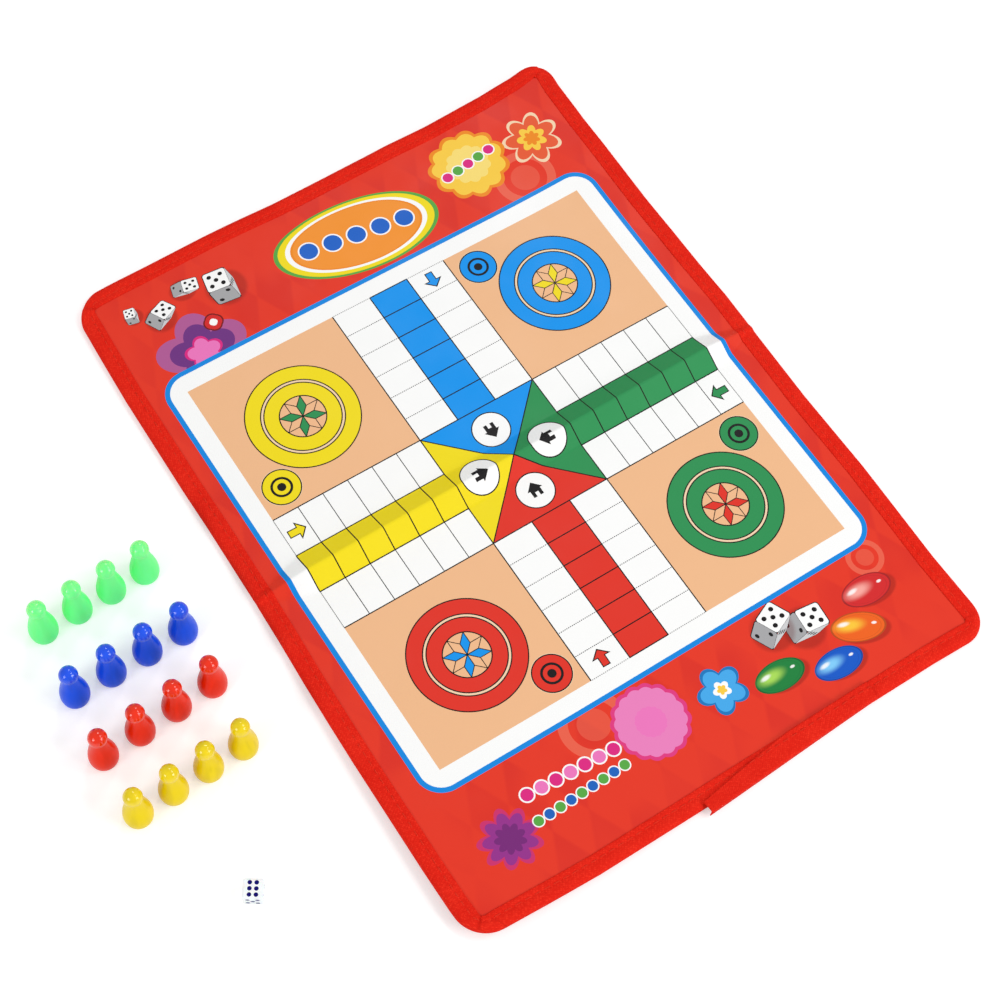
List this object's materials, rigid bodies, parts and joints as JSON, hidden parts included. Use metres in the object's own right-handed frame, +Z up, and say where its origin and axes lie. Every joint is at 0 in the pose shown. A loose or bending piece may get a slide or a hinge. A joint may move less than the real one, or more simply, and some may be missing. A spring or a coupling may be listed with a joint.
{
  "type": "folding ludo board",
  "caption": "Thin padded game board that folds in half across a soft centre fold, with a stitched cloth edge, printed ludo face, ball-headed pawns and a die.",
  "frame": {"origin": "on the board's underside, in the middle of the fold, which is the middle of the open board", "axes": "+X along the fold, away from the pawns; +Y across the fold, from the near half to the far half; +Z up out of the printed face"},
  "size_m": [0.3376, 0.3394, 0.0262],
  "materials": {
    "printed_face": "printed laminate, satin",
    "edge_tape": "embossed non-woven tape",
    "backing": "embossed non-woven cloth",
    "stiffener": "plain grey board",
    "thread": "twisted thread",
    "die_body": "glossy",
    "pip_paint": "painted recess",
    "pawn_green": "moulded, glossy",
    "pawn_blue": "moulded, glossy",
    "pawn_red": "moulded, glossy",
    "pawn_yellow": "moulded, glossy"
  },
  "bodies": {
    "near_half": {"near_back_sheet": "backing", "near_insert": "stiffener", "near_face_sheet": "printed_face", "near_fold_ridge": "printed_face", "near_tape_end": "edge_tape", "near_tape_left": "edge_tape", "near_tape_fold_left": "edge_tape", "near_tape_right": "edge_tape", "near_tape_fold_right": "edge_tape", "near_stitching": "thread", "tape_overlap": "edge_tape"},
    "far_half": {"far_back_sheet": "backing", "far_insert": "stiffener", "far_face_sheet": "printed_face", "far_fold_ridge": "printed_face", "far_tape_end": "edge_tape", "far_tape_left": "edge_tape", "far_tape_fold_left": "edge_tape", "far_tape_right": "edge_tape", "far_tape_fold_right": "edge_tape", "far_stitching": "thread"},
    "pawn_green_1": {"pawn_green_1": "pawn_green"},
    "pawn_green_2": {"pawn_green_2": "pawn_green"},
    "pawn_green_3": {"pawn_green_3": "pawn_green"},
    "pawn_green_4": {"pawn_green_4": "pawn_green"},
    "pawn_blue_1": {"pawn_blue_1": "pawn_blue"},
    "pawn_blue_2": {"pawn_blue_2": "pawn_blue"},
    "pawn_blue_3": {"pawn_blue_3": "pawn_blue"},
    "pawn_blue_4": {"pawn_blue_4": "pawn_blue"},
    "pawn_red_1": {"pawn_red_1": "pawn_red"},
    "pawn_red_2": {"pawn_red_2": "pawn_red"},
    "pawn_red_3": {"pawn_red_3": "pawn_red"},
    "pawn_red_4": {"pawn_red_4": "pawn_red"},
    "pawn_yellow_1": {"pawn_yellow_1": "pawn_yellow"},
    "pawn_yellow_2": {"pawn_yellow_2": "pawn_yellow"},
    "pawn_yellow_3": {"pawn_yellow_3": "pawn_yellow"},
    "pawn_yellow_4": {"pawn_yellow_4": "pawn_yellow"},
    "die": {"die": "die_body", "die_pips": "pip_paint"}
  },
  "joints": [
    {"name": "fold", "type": "hinge", "parent": "near_half", "child": "far_half", "pos_m": [0, 0, -0.00015], "axis": [-1, 0, 0], "range_deg": [0, 179]},
    {"name": "pawn_green_1_lift", "type": "slide", "parent": "near_half", "child": "pawn_green_1", "axis": [0, 0, 1], "range_m": [0, 0.035]},
    {"name": "pawn_green_2_lift", "type": "slide", "parent": "near_half", "child": "pawn_green_2", "axis": [0, 0, 1], "range_m": [0, 0.035]},
    {"name": "pawn_green_3_lift", "type": "slide", "parent": "near_half", "child": "pawn_green_3", "axis": [0, 0, 1], "range_m": [0, 0.035]},
    {"name": "pawn_green_4_lift", "type": "slide", "parent": "near_half", "child": "pawn_green_4", "axis": [0, 0, 1], "range_m": [0, 0.035]},
    {"name": "pawn_blue_1_lift", "type": "slide", "parent": "near_half", "child": "pawn_blue_1", "axis": [0, 0, 1], "range_m": [0, 0.035]},
    {"name": "pawn_blue_2_lift", "type": "slide", "parent": "near_half", "child": "pawn_blue_2", "axis": [0, 0, 1], "range_m": [0, 0.035]},
    {"name": "pawn_blue_3_lift", "type": "slide", "parent": "near_half", "child": "pawn_blue_3", "axis": [0, 0, 1], "range_m": [0, 0.035]},
    {"name": "pawn_blue_4_lift", "type": "slide", "parent": "near_half", "child": "pawn_blue_4", "axis": [0, 0, 1], "range_m": [0, 0.035]},
    {"name": "pawn_red_1_lift", "type": "slide", "parent": "near_half", "child": "pawn_red_1", "axis": [0, 0, 1], "range_m": [0, 0.035]},
    {"name": "pawn_red_2_lift", "type": "slide", "parent": "near_half", "child": "pawn_red_2", "axis": [0, 0, 1], "range_m": [0, 0.035]},
    {"name": "pawn_red_3_lift", "type": "slide", "parent": "near_half", "child": "pawn_red_3", "axis": [0, 0, 1], "range_m": [0, 0.035]},
    {"name": "pawn_red_4_lift", "type": "slide", "parent": "near_half", "child": "pawn_red_4", "axis": [0, 0, 1], "range_m": [0, 0.035]},
    {"name": "pawn_yellow_1_lift", "type": "slide", "parent": "near_half", "child": "pawn_yellow_1", "axis": [0, 0, 1], "range_m": [0, 0.035]},
    {"name": "pawn_yellow_2_lift", "type": "slide", "parent": "near_half", "child": "pawn_yellow_2", "axis": [0, 0, 1], "range_m": [0, 0.035]},
    {"name": "pawn_yellow_3_lift", "type": "slide", "parent": "near_half", "child": "pawn_yellow_3", "axis": [0, 0, 1], "range_m": [0, 0.035]},
    {"name": "pawn_yellow_4_lift", "type": "slide", "parent": "near_half", "child": "pawn_yellow_4", "axis": [0, 0, 1], "range_m": [0, 0.035]},
    {"name": "die_lift", "type": "slide", "parent": "near_half", "child": "die", "axis": [0, 0, 1], "range_m": [0, 0.035]}
  ]
}
